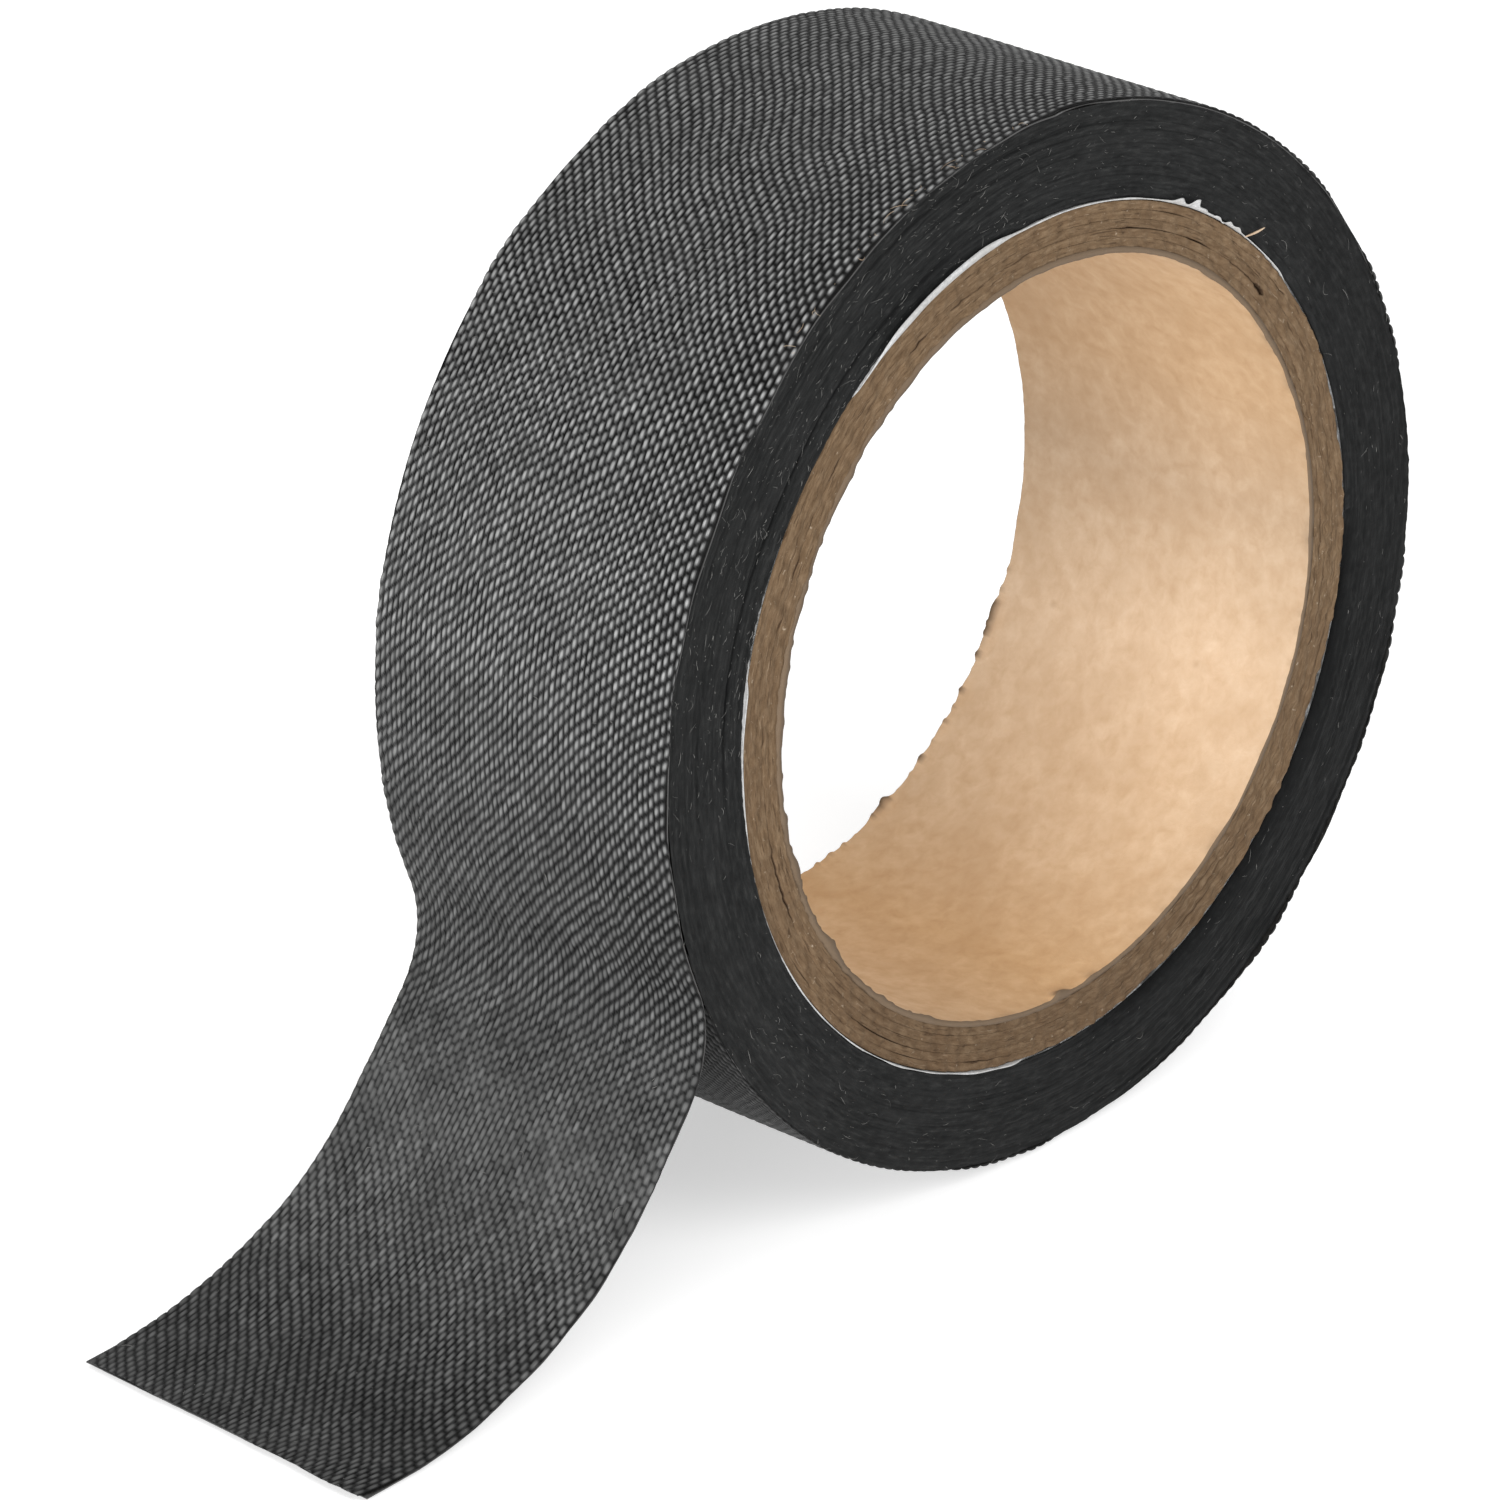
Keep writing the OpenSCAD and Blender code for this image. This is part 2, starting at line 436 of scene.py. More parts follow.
def board_material(shade):
    """The cut end of a board ply: streaks that run along the turns, and the marks of torn pulp, with
    painted shade beside its open seams and towards the bottom.
    """
    material, tree, shader = new_material(f"core_board_{shade:.2f}", Roughness=0.9, Specular_IOR_Level=0.08)
    streak = noise(tree, round_the_axis(tree, 26.0, 3600.0, 2600.0), 1.0, 5, 0.68)
    place = place_on(tree)
    pulp = noise(tree, place, 2300.0, 5, 0.7)
    cloud = noise(tree, place, 260.0, 3, 0.5)
    base = ramp(tree, streak, (0.25, (0.07, 0.042, 0.022)), (0.48, (0.125, 0.081, 0.046)),
                (0.72, (0.21, 0.148, 0.092)))
    fine = noise(tree, round_the_axis(tree, 15.0, 6500.0, 1500.0), 1.0, 3, 0.6)
    torn = tinted(tree, base,
                  (pulp, 0.3, 0.7, 0.4, (0.14, 0.092, 0.053)),      # soft pulp
                  (cloud, 0.3, 0.7, 0.35, (0.1, 0.062, 0.036)),     # darker clouds
                  (pulp, 0.63, 0.72, 0.75, (0.4, 0.33, 0.25)),      # pale flecks
                  (pulp, 0.34, 0.28, 0.8, (0.06, 0.034, 0.02)),     # pits
                  (fine, 0.4, 0.33, 0.75, (0.05, 0.03, 0.017)),     # cracks along the turns
                  (fine, 0.66, 0.74, 0.4, (0.36, 0.28, 0.2)))       # slivers
    # painted shade beside the open seams and towards the bottom
    torn_and_shaded = mixed(tree, attribute(tree, "painted_shade"), torn, (0.035, 0.02, 0.012, 1))
    colour = mixed(tree, 1.0, torn_and_shaded, grey(shade), "MULTIPLY")
    coloured(tree, shader, colour)
    bumped(tree, shader, sum_of(tree, streak, pulp), 0.06 * MM, 0.9)
    return material


def liner_material():
    material, tree, shader = new_material("kraft_bore_lining", Roughness=0.6, Specular_IOR_Level=0.5)
    place = place_on(tree)
    blotch = noise(tree, place, 800.0, 4, 0.6, 0.3)
    cloud = noise(tree, place, 240.0, 3, 0.55)
    pulp = noise(tree, place, 3600.0, 4, 0.7)
    base = ramp(tree, blotch, (0.28, (0.545, 0.385, 0.245)), (0.5, (0.61, 0.45, 0.303)),
                (0.74, (0.67, 0.515, 0.365)))
    grained = tinted(tree, base, (cloud, 0.42, 0.68, 0.45, (0.5, 0.345, 0.21)),
                     (pulp, 0.35, 0.75, 0.1, (0.5, 0.33, 0.2)))
    spot = specks(tree, place, 170.0, 0.075, (0.72, 0.75), 0.42)
    spotted = mixed(tree, spot, grained, (0.33, 0.19, 0.1, 1))
    # painted shade: darker and more orange where the bore wall lies in shade
    orange_shaded = mixed(tree, attribute(tree, "painted_orange_shade"), spotted, (0.86, 0.7, 0.46, 1), "MULTIPLY")
    # painted light and shade by polar angle
    shaded = times(tree, orange_shaded, attribute(tree, "shade"))
    colour = mixed(tree, attribute(tree, "torn"), shaded, (0.12, 0.079, 0.045, 1))
    coloured(tree, shader, colour, spread_over(tree, blotch, 0.3, 0.7, 0.86, 0.7))
    bumped(tree, shader, sum_of(tree, blotch, sum_of(tree, pulp, 0.35, "MULTIPLY")), 0.05 * MM, 0.6)
    return material


def paper_material():
    material, tree, shader = new_material("white_paper_ply", Roughness=0.8)
    place = place_on(tree)
    pulp = noise(tree, place, 3000.0, 4, 0.7)
    patch = noise(tree, place, 420.0, 3, 0.6)
    base = ramp(tree, pulp, (0.3, (0.3, 0.305, 0.31)), (0.65, (0.56, 0.565, 0.57)))
    colour = tinted(tree, base, (patch, 0.35, 0.65, 0.6, (0.36, 0.35, 0.33)))
    coloured(tree, shader, colour)
    bumped(tree, shader, pulp, 0.04 * MM, 0.7)
    return material


def fibre_material(name, dark, light):
    material, tree, shader = new_material(name, Roughness=0.6)
    place = place_on(tree)
    colour = ramp(tree, noise(tree, place, 900.0, 2), (0.35, dark), (0.65, light))
    coloured(tree, shader, colour)
    return material


CLOTH = cloth_material()
GLUE = glue_material()
WINDING = winding_material()
LINER = liner_material()
PAPER = paper_material()
LINT = fibre_material("pale_lint", (0.05, 0.05, 0.048), (0.26, 0.255, 0.24))
SPLINTER = fibre_material("paper_splinter", (0.42, 0.3, 0.2), (0.62, 0.48, 0.34))


# ======== the tape's path
def turned(s):
    """How far the tail has turned away from the roll at distances s."""
    return np.radians(np.interp(s / TAIL_LEN, TURN_AT, TURN_DEG))


FINE = 0.02 * MM
fine_s = np.arange(0, TAIL_LEN + FINE / 2, FINE)
fine_heading = PEEL_ANGLE + TURN / 4 - turned(fine_s)
middle_heading = (fine_heading[1:] + fine_heading[:-1]) / 2
START_R = ROLL_R - CLOTH_T / 2
fine_x = START_R * math.cos(PEEL_ANGLE) + np.concatenate([[0], np.cumsum(FINE * np.cos(middle_heading))])
fine_z = START_R * math.sin(PEEL_ANGLE) + np.concatenate([[0], np.cumsum(FINE * np.sin(middle_heading))])


def round_angle(s):
    """Polar angle of the outermost turn at distance s, negative, back from the peel line."""
    return PEEL_ANGLE + s / START_R


def turn_radius(s):
    """Radius of the middle of the outermost turn's cloth, which spirals in by one tape thickness."""
    return START_R + TAPE_T * s / (START_R * TURN)


FLATNESS, FLAT_DEG = 0.4 * MM, (30, 66, 32)  # depth, and first, last and soft degrees
LOOSENESS, LOOSE_DEG = 0.2 * MM, (296, 326, 28)


def nearness(y):
    """1 at the near side of the roll and 0 at the far side."""
    return (HALF_WIDTH - y) / (2 * HALF_WIDTH)


def roundness(angle, y):
    """How far the hand-wound roll's outside is pressed flat, most at the near side."""
    return -FLATNESS * bump(degrees_of(angle), *FLAT_DEG) * nearness(y)


def looseness(angle, y):
    """How far the outermost turn stands off the turns under it, most at the near side."""
    return LOOSENESS * bump(degrees_of(angle), *LOOSE_DEG) * nearness(y)


def tape_line(s):
    """Middle of the cloth and the direction out of its woven side, at distances s past the peel line."""
    on_roll = s < 0
    angle = round_angle(np.minimum(s, 0))
    radius = turn_radius(np.minimum(s, 0))
    heading = np.interp(s, fine_s, fine_heading)
    x = np.where(on_roll, radius * np.cos(angle), np.interp(s, fine_s, fine_x))
    z = np.where(on_roll, radius * np.sin(angle), np.interp(s, fine_s, fine_z))
    out = np.where(on_roll, angle, heading - TURN / 4)
    return np.stack([x, z], axis=-1), np.stack([np.cos(out), np.sin(out)], axis=-1)


def weave(u, s):
    """Height of the weave, 0 in the gaps to 1 on a float's crest, and each float's tone times the painted
    light and shade along the tape.
    """
    across = u / COLUMN
    column = np.floor(across)
    x = 2 * (across - column) - 1
    lean, side_gap, end_gap, painted_light_here = (
        np.interp(s / MM, WEAVE_AT, table) for table in (LEAN, SIDE_GAP, END_GAP, PAINTED_LIGHT_AND_SHADE)
    )
    lean = lean * (LEAN_NEAR + LEAN_RISE * u / (2 * HALF_WIDTH))
    uneven = np.sin(s / (2.3 * MM) + 1.7 * column) + np.sin(s / (5.1 * MM) + 4.1 * column)
    along = s / FLOAT_PERIOD + 0.5 * (column % 2) + lean * x + UNEVEN * uneven
    index = np.floor(along)
    t = 2 * (along - index) - 1
    yarn = np.sqrt(np.clip(1 - x * x, 0, 1))
    crest = np.sqrt(np.clip(1 - np.abs(t) ** FLOAT_SHARPNESS, 0, 1))
    rng = np.random.default_rng(5)
    spare = 4
    yarns = COLUMNS + 2 * spare
    table = rng.normal(1.0, TONE_SPREAD, size=(yarns, FLOATS_LISTED))
    tone_and_painted_light = table[(column + spare).astype(int) % yarns, index.astype(int) % FLOATS_LISTED]
    height = (1 - side_gap * (1 - yarn)) * (1 - end_gap * (1 - crest))
    return height, np.clip(tone_and_painted_light, 0.5, 1.6) * painted_light_here


SLACK = (  # patches of loose, skewed weave: distance s, place u, size, skew along and rise, in mm
    (-52.0, 3.5, 4.5, 0.75, 0.10),
    (-53.5, 11.0, 5.5, -0.5, 0.06),
    (-74.0, 10.0, 6.0, 0.6, 0.09),
    (-76.0, 19.0, 6.5, -0.45, 0.05),
    (21.0, 14.0, 7.0, 0.4, 0.05),
)


def slack(s, u):
    """Skew along the tape and rise of the cloth in the slack patches."""
    skew, rise = np.zeros_like(s), np.zeros_like(s)
    for place, across, size, shift, lift in SLACK:
        distance = ((s / MM - place) ** 2 + (u / MM - across) ** 2) / size ** 2
        share = np.exp(-distance)
        skew += shift * MM * share * (u / MM - across) / size
        rise += lift * MM * share
    return skew, rise


EDGE_STANDS, EDGE_STANDS_DEG = 0.22 * MM, (90.5, 205, 2.0)
EDGE_WAVES = 0.05 * MM


def near_edge(s):
    """How far the outermost turn's near edge stands past the winding's side face."""
    angle = degrees_of(round_angle(np.minimum(s, 0)))
    points = np.stack([s, np.zeros_like(s)], axis=-1)
    return EDGE_STANDS * bump(angle, *EDGE_STANDS_DEG) + EDGE_WAVES * waves(points, 9 * MM, 11, 10)


# ======== the outermost turn and the tail
columns = np.arange(COLUMNS * SAMPLES + 1) * (COLUMN / SAMPLES)
OVERLAP = 3 * MM  # of the outermost turn's start under its own end
RING_ROWS = round((START_R * TURN + OVERLAP) / ROW_STEP)
TAIL_ROWS = round(TAIL_LEN / ROW_STEP)
tape_s = np.arange(-RING_ROWS, TAIL_ROWS + 1) * ROW_STEP
SWELL = 0.015 * MM  # soft unevenness of the cloth
TOOTH = 0.13 * MM  # how far floats stand out at the cut edges
NARROWING = 0.45 * MM  # of each side of the tail, at its end
NARROW_FROM = 36 * MM


def cloth_surface():
    """Points of the tape's woven side for every row of tape_s, with weave heights, and tones that carry the
    painted light and shade.
    """
    s, u = np.meshgrid(tape_s, columns, indexing="ij")
    middle, out = tape_line(tape_s)
    flat = np.stack([s, u], axis=-1)
    skew, rise = slack(s, u)
    calm = 1 - 0.6 * np.clip((s - 4 * MM) / (10 * MM), 0, 1)
    wander_u = calm * 0.10 * MM * waves(flat, 17 * MM, 3, 12) + 0.02 * MM * waves(flat, 4 * MM, 4, 12)
    wander_s = 0.16 * MM * waves(flat, 23 * MM, 5, 12) + 0.05 * MM * waves(flat, 5 * MM, 6, 12)
    height, tone_and_painted_light = weave(np.clip(u + wander_u, 0, 2 * HALF_WIDTH - 1e-9), s + wander_s + skew)
    tone_and_painted_light = tone_and_painted_light * (1 + (0.1 - 0.06 * calm) * waves(flat, 8 * MM, 8, 12))
    near_share = np.clip(1 - u / NEAR_BAND, 0, 1) * (1 - 0.6 * np.clip(s / (10 * MM) + 0.8, 0, 1))
    height = height ** (0.95 + 0.5 * near_share)
    tone_and_painted_light = tone_and_painted_light * (1 + 0.22 * near_share)
    swell = SWELL * waves(flat, 14 * MM, 9, 12)
    swell *= np.minimum(1, (s + RING_ROWS * ROW_STEP) / (20 * MM))
    offset = CLOTH_T / 2 - RELIEF * (1 - height) + swell + rise
    edge_u = np.minimum(u, 2 * HALF_WIDTH - u)
    edge_share = np.exp(-((edge_u / (0.5 * COLUMN)) ** 2))
    teeth = TOOTH * (height - 0.5) * edge_share
    side = np.where(u < HALF_WIDTH, -1, 1)
    y = u - HALF_WIDTH + side * teeth
    y -= near_edge(s) * np.clip(1 - u / (3 * MM), 0, 1) ** 2
    narrowed = NARROWING * np.clip((s - NARROW_FROM) / (TAIL_LEN - NARROW_FROM), 0, 1) ** 2
    y *= 1 - narrowed / HALF_WIDTH
    on_roll = round_angle(np.minimum(s, 0))
    offset = offset + roundness(on_roll, y) + looseness(on_roll, y)
    x = middle[:, None, 0] + out[:, None, 0] * offset
    z = middle[:, None, 1] + out[:, None, 1] * offset
    return np.stack([x, y, z], axis=-1), height, tone_and_painted_light


CUT_ROWS = 12  # rows that the cut draws in or out
YARN_END = 0.14  # how unevenly single yarns end, in mm


def cut_end(points):
    """The tail's end, cut by hand: the last rows are drawn in or out a little, yarn by yarn."""
    rng = np.random.default_rng(21)
    yarn_ends = np.repeat(rng.uniform(-0.5, 0.35, COLUMNS + 1), SAMPLES)[:len(columns)]
    smooth = np.convolve(np.pad(yarn_ends, 1, mode="edge"), np.ones(3) / 3, mode="valid")
    u = columns / MM
    sweep = 0.1 * np.sin(u / 3.1 + 0.4) + 0.06 * np.sin(u / 1.3) + 0.3 - 0.012 * u
    corner = np.clip(u / 3, 0, 1) * np.clip((2 * HALF_WIDTH / MM - u) / 3, 0, 1)
    shift = (smooth * YARN_END * corner + sweep) * MM
    share = np.linspace(0, 1, CUT_ROWS)[:, None, None] ** 1.5
    along = points[-1] - points[-2]
    along /= np.linalg.norm(along, axis=-1, keepdims=True)
    points[-CUT_ROWS:] += share * shift[None, :, None] * along[None]
    return points


tape_points, tape_height, tape_tone_and_painted_light = cloth_surface()
tape_points = cut_end(tape_points)
along_s, along_u = np.gradient(tape_points, axis=0), np.gradient(tape_points, axis=1)
tape_normals = np.cross(along_u, along_s)
tape_normals /= np.linalg.norm(tape_normals, axis=-1, keepdims=True)
middles, outs = tape_line(tape_s)
if np.einsum("ij,ij->i", tape_normals[:, len(columns) // 2][:, [0, 2]], outs).mean() < 0:
    tape_normals = -tape_normals


def below(rows, offset, y):
    """Points at an offset out of the tape's middle line, for rows of the tape and places across it."""
    on_roll = round_angle(np.minimum(tape_s[rows], 0)).reshape(-1, 1)
    lifted = offset + roundness(on_roll, y) + looseness(on_roll, y)
    x = middles[rows][:, :1] + outs[rows][:, :1] * lifted
    z = middles[rows][:, 1:] + outs[rows][:, 1:] * lifted
    return np.stack([x, y, z], axis=-1)


EDGE_INSET = 0.02 * MM  # of the cloth's flat inner side from its woven side
INNER_WEAVE = 0.3  # weave height that colours the inner side


def cloth_piece(name, first, last):
    """The cloth from row first to row last of the tape: woven outside, flat inside."""
    rows = slice(first, last + 1)
    s = tape_s[rows]
    floor_r = np.maximum(turn_radius(np.minimum(s, 0)) - CLOTH_T / 2, BLOCK_R + 0.01 * MM)
    depth = np.where(s < 0, floor_r - turn_radius(np.minimum(s, 0)), -CLOTH_T / 2)
    edge_y = tape_points[rows][:, [-1, 0], 1] + np.array([-EDGE_INSET, EDGE_INSET])
    sections = joined(tape_points[rows], below(rows, depth[:, None], edge_y))
    count, around = sections.shape[:2]
    blank = np.zeros((count, 2))
    flat_uv = np.stack(np.meshgrid(s, columns, indexing="ij")[::-1], axis=-1)
    ends_uv = np.stack([flat_uv[:, -1], flat_uv[:, 0]], axis=1)
    uv = joined(flat_uv, ends_uv).reshape(-1, 2)
    values = {
        "weave": joined(tape_height[rows], blank + INNER_WEAVE),
        # the tones carry the painted light and shade along the tape
        "tone_and_painted_light": joined(tape_tone_and_painted_light[rows], blank + 1),
    }
    piece = swept(name, sections, False, material=CLOTH, uv=uv, values=values)
    smooth_over(piece, tape_normals[rows], around)
    return piece


def smooth_over(piece, normals, around):
    """Gives one side of a piece the whole tape's normals, so that no line shows where pieces meet."""
    mesh = piece.data
    faces = np.zeros((len(mesh.polygons), 3), np.float32)
    mesh.polygons.foreach_get("normal", faces.ravel())
    sizes = np.zeros(len(mesh.polygons), np.int32)
    mesh.polygons.foreach_get("loop_total", sizes)
    corners = np.zeros(len(mesh.loops), np.int32)
    mesh.loops.foreach_get("vertex_index", corners)
    of_face = np.repeat(np.arange(len(sizes)), sizes)
    woven = normals.shape[1]
    on_top = (corners % around) < woven
    starts = np.concatenate([[0], np.cumsum(sizes)[:-1]])
    face_on_top = np.logical_and.reduceat(on_top, starts) & (sizes == 4)
    top = face_on_top[of_face]
    result = faces[of_face].astype(float)
    row, column = corners // around, np.minimum(corners % around, woven - 1)
    result[top] = normals[row, column][top]
    mesh.normals_split_custom_set(result)


GLUE_ROWS = 3  # one row of the adhesive for so many rows of the cloth


def glue_piece(name, first, last):
    """The adhesive under the cloth from row first to row last, in coarser rows."""
    rows = np.arange(first, last + 1, GLUE_ROWS)
    if rows[-1] != last:
        rows = np.append(rows, last)
    s = tape_s[rows]
    radius = turn_radius(np.minimum(s, 0))
    top_r = np.maximum(radius - CLOTH_T / 2, BLOCK_R + 0.008 * MM)
    low_r = np.maximum(radius - CLOTH_T / 2 - GLUE_T, BLOCK_R + 0.004 * MM)
    top = np.where(s < 0, top_r - radius, -CLOTH_T / 2)
    low = np.where(s < 0, low_r - radius, -CLOTH_T / 2 - GLUE_T)
    u = np.linspace(0, 2 * HALF_WIDTH, COLUMNS * 2 + 1)
    flat = np.stack(np.meshgrid(s, u, indexing="ij"), axis=-1)
    marks = 0.008 * MM * (waves(flat, 1.6 * MM, 31, 16) + weave(flat[..., 1], flat[..., 0])[0])
    marks *= np.where(s < 0, 0, 1)[:, None]
    inset = 0.05 * MM + 0.03 * MM * waves(flat[:, [0, -1]], 5 * MM, 33, 8)
    y = u[None] - HALF_WIDTH + np.zeros_like(marks)
    y[:, 0], y[:, -1] = y[:, 0] + inset[:, 0], y[:, -1] - inset[:, 1]
    y[:, 0] -= near_edge(s)
    offset = low[:, None] + marks
    sections = joined(below(rows, offset, y), below(rows, top[:, None], y[:, [-1, 0]]))
    uv_ends = np.stack([flat[:, -1], flat[:, 0]], axis=1)
    uv = joined(flat, uv_ends)[..., ::-1].reshape(-1, 2)
    piece = swept(name, sections, False, material=GLUE, uv=uv)
    inwards = -np.stack([outs[rows][:, 0], np.zeros(len(rows)), outs[rows][:, 1]], axis=-1)
    smooth_over(piece, np.repeat(inwards[:, None], len(u), axis=1), sections.shape[1])
    return piece


def lint_piece(name, first, last, count, seed, reach=len(columns) - 1, longest=0.9, material=LINT):
    """Pale lint caught on the weave between two rows of the tape, within reach of the near edge."""
    rng = np.random.default_rng(seed)
    row = rng.integers(first + 2, last - 2, count)
    column = rng.integers(1, reach, count)
    root, normal = tape_points[row, column], tape_normals[row, column]
    heading = rng.normal(size=(count, 3))
    heading -= normal * np.einsum("ij,ij->i", heading, normal)[:, None]
    heading /= np.linalg.norm(heading, axis=1, keepdims=True)
    side = np.cross(heading, normal)
    length = rng.exponential(0.25 * longest, count).clip(0.06, longest) * MM
    t = np.linspace(-0.5, 0.5, 6)[None, :, None]
    curl = rng.normal(0, 0.5, (count, 1, 1)) * (t * t * 4 - 1) * length[:, None, None] * 0.6
    rise = 0.012 * MM + 0.05 * length[:, None, None] * (1 - t * t * 4)
    paths = root[:, None] + heading[:, None] * t * length[:, None, None] + side[:, None] * curl
    paths = paths + normal[:, None] * rise
    return strands(name, paths, rng.uniform(0.007, 0.015, count) * MM, material)


def row_of(s):
    return RING_ROWS + round(s / ROW_STEP)


turn_cloth = cloth_piece("outer_turn_weave", 0, row_of(0))
turn_glue = glue_piece("outer_turn_glue", 0, row_of(0))
turn_lint = lint_piece("outer_turn_lint", 0, row_of(0), 620, 41)
edge_lint = lint_piece("near_edge_lint", row_of(-67 * MM), row_of(-42 * MM), 26, 43, 7, 1.6, SPLINTER)
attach(edge_lint, "outer_turn")
for piece, slot in ((turn_cloth, "tape_cloth"), (turn_glue, "tape_adhesive"), (turn_lint, None)):
    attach(piece, "outer_turn")
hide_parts("outer_turn_cloth")
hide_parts("outer_turn_adhesive")

# The tail's visual pieces meet halfway between its hinges. Only the last one is attached to a tail body;
# the others stay where they are built.
tail_bodies = ["outer_turn"] + [f"tail_{k}" for k in range(1, SEGMENTS + 1)]
splits = [0.0] + [ROOT_LEN + SEGMENT_LEN * (k + 0.5) for k in range(SEGMENTS)] + [TAIL_LEN]
tail_pieces = []
for k in range(SEGMENTS + 1):
    first, last = row_of(splits[k]), row_of(splits[k + 1])
    stood_for = "tail_root" if k == 0 else f"tail_{k}"
    weave_k = cloth_piece(f"{stood_for}_weave", first, last)
    glue_k = glue_piece(f"{stood_for}_glue", first, last)
    lint_k = lint_piece(f"{stood_for}_lint", first, last, 26, 50 + k)
    for piece in (weave_k, glue_k, lint_k):
        if k < SEGMENTS:
            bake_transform(piece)
        else:
            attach(piece, tail_bodies[k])
    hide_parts(f"{stood_for}_cloth")
    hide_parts(f"{stood_for}_adhesive")
    tail_pieces += [weave_k, glue_k, lint_k]


# ======== the wound block
GROOVES = (  # layers that lie deeper on the near side, painted dark as shade: layer, depth in mm, first, last and soft degrees
    (4, 0.17, 118, 168, 26),
    (12, 0.03, 135, 170, 25),
    (17, 0.09, 95, 150, 20),
)
# The hollow beside the core is also painted dark as its shadow.
DIP, DIP_REACH, DIP_DEG = 0.8 * MM, 0.9 * MM, (292, 345, 22)  # hollow beside the core, near side
RIM = 0.35 * MM  # width of the block's edges, which have its full radius


def winding_piece():
    """The block of inner turns: both side faces carry the edges of its spiral layers."""
    rows, per_turn = 1080, 6
    angle = np.arange(rows) * TURN / rows
    radius = np.linspace(CORE_R, BLOCK_R, TURNS * per_turn + 1)
    theta, r = np.meshgrid(angle, radius, indexing="ij")
    faces, painted_shades = [], []
    for side, seed in ((NEAR, 61), (FAR, 71)):
        layer = (r - CORE_R) / TAPE_T - theta / TURN
        index = np.floor(layer)
        share = layer - index
        path = np.stack([(index + theta / TURN) * 11.3, np.zeros_like(theta)], axis=-1)
        stand = 0.022 * MM * waves(path, 5.0, seed, 24) + 0.016 * MM * waves(path, 1.3, seed + 1, 24)
        flat = polar(r, theta, side * HALF_WIDTH)
        shared = 0.07 * MM * waves(flat, 26 * MM, seed + 2, 16)
        fuzz = 0.018 * MM * waves(flat, 0.9 * MM, seed + 3, 32)
        edge = np.clip(np.abs(share - 0.62) / 0.38, 0, 1)
        seam = 0.01 * MM * edge ** 3
        place = degrees_of(theta)
        sunk = np.zeros_like(r)
        for sunk_layer, depth, start, end, soft in GROOVES:
            sunk += depth * MM * bump(index, sunk_layer, sunk_layer, 0.5) * bump(place, start, end, soft)
        y = side * (HALF_WIDTH + stand + shared + fuzz - seam - (sunk if side == NEAR else 0))
        dip = (side == NEAR) * bump(place, *DIP_DEG) * np.exp(-(((r - CORE_R) / DIP_REACH) ** 2))
        y -= side * DIP * dip
        lift = roundness(theta, side * HALF_WIDTH) * (r - CORE_R) / (ROLL_R - CORE_R)
        faces.append(polar(r + lift, theta, y))
        # painted shade: the seams between layers, the sunk layers, the hollow beside the core, and each
        # face towards +X, darkest round 337 degrees
        painted_shades.append(np.clip(0.1 * edge ** 4 + sunk / (0.3 * MM) + 0.95 * dip
                               + 0.35 * np.clip(np.cos(theta + 0.4), 0, 1), 0, 1))
    # Under the outermost turn the block is a little slimmer, so that its flat place may turn past.
    hidden_y = np.array([-HALF_WIDTH + RIM, HALF_WIDTH - RIM])
    hidden_r = BLOCK_R - FLATNESS * np.array([1, 0.05]) + roundness(angle[:, None], hidden_y)
    hidden = polar(hidden_r, angle[:, None], hidden_y)
    sections = joined(faces[0], hidden, faces[1][:, ::-1])
    painted_shade = joined(painted_shades[0], np.zeros((rows, 2)), painted_shades[1][:, ::-1])
    return swept("tape_winding", sections, True, material=WINDING, values={"painted_shade": painted_shade})


def side_fibres(side, count, seed):
    """Fine yarn ends and lint on a side face of the winding, mostly lying along the turns."""
    rng = np.random.default_rng(seed)
    angle = np.where(rng.random(count) < 0.75, rng.normal(2.6, 0.85, count), rng.uniform(0, TURN, count))
    radius = rng.uniform(CORE_R + 0.3 * MM, ROLL_R - 0.3 * MM, count)
    length = rng.exponential(0.24, count).clip(0.1, 1.1) * MM
    steer = rng.normal(0, 0.45, count)
    t = np.linspace(-0.5, 0.5, 7)[None]
    around = angle[:, None] + t * (length * np.cos(steer) / radius)[:, None]
    bow = rng.normal(0, 0.12, count)[:, None] * (1 - 4 * t * t) * length[:, None]
    outward = radius[:, None] + t * (length * np.sin(steer))[:, None] + bow
    lift = rng.uniform(0.03, 0.16, count)[:, None] * MM + 0.06 * length[:, None] * (1 - 4 * t * t)
    paths = polar(outward, around, side * (HALF_WIDTH + lift))
    name = "near_side_fibres" if side == NEAR else "far_side_fibres"
    return strands(name, paths, rng.uniform(0.006, 0.013, count) * MM, LINT)


winding = winding_piece()
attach(winding, "spool")
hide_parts("wound_tape")
for side in (NEAR, FAR):
    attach(side_fibres(side, 1300, 83 + side), "spool")


# ======== the core
CORE_ROWS = 900
core_angle = np.arange(CORE_ROWS) * TURN / CORE_ROWS
OPEN_SEAM = 2  # the seam with an open slit, and with long, broken cracks:
SLIT = ((0.10, 41.6, 43.8, 0.3), (0.07, 41.2, 41.7, 0.3))  # half gap in mm; first, last, soft degrees
CRACKS = ((0.03, 104, 196, 14), (0.022, 50, 92, 10))


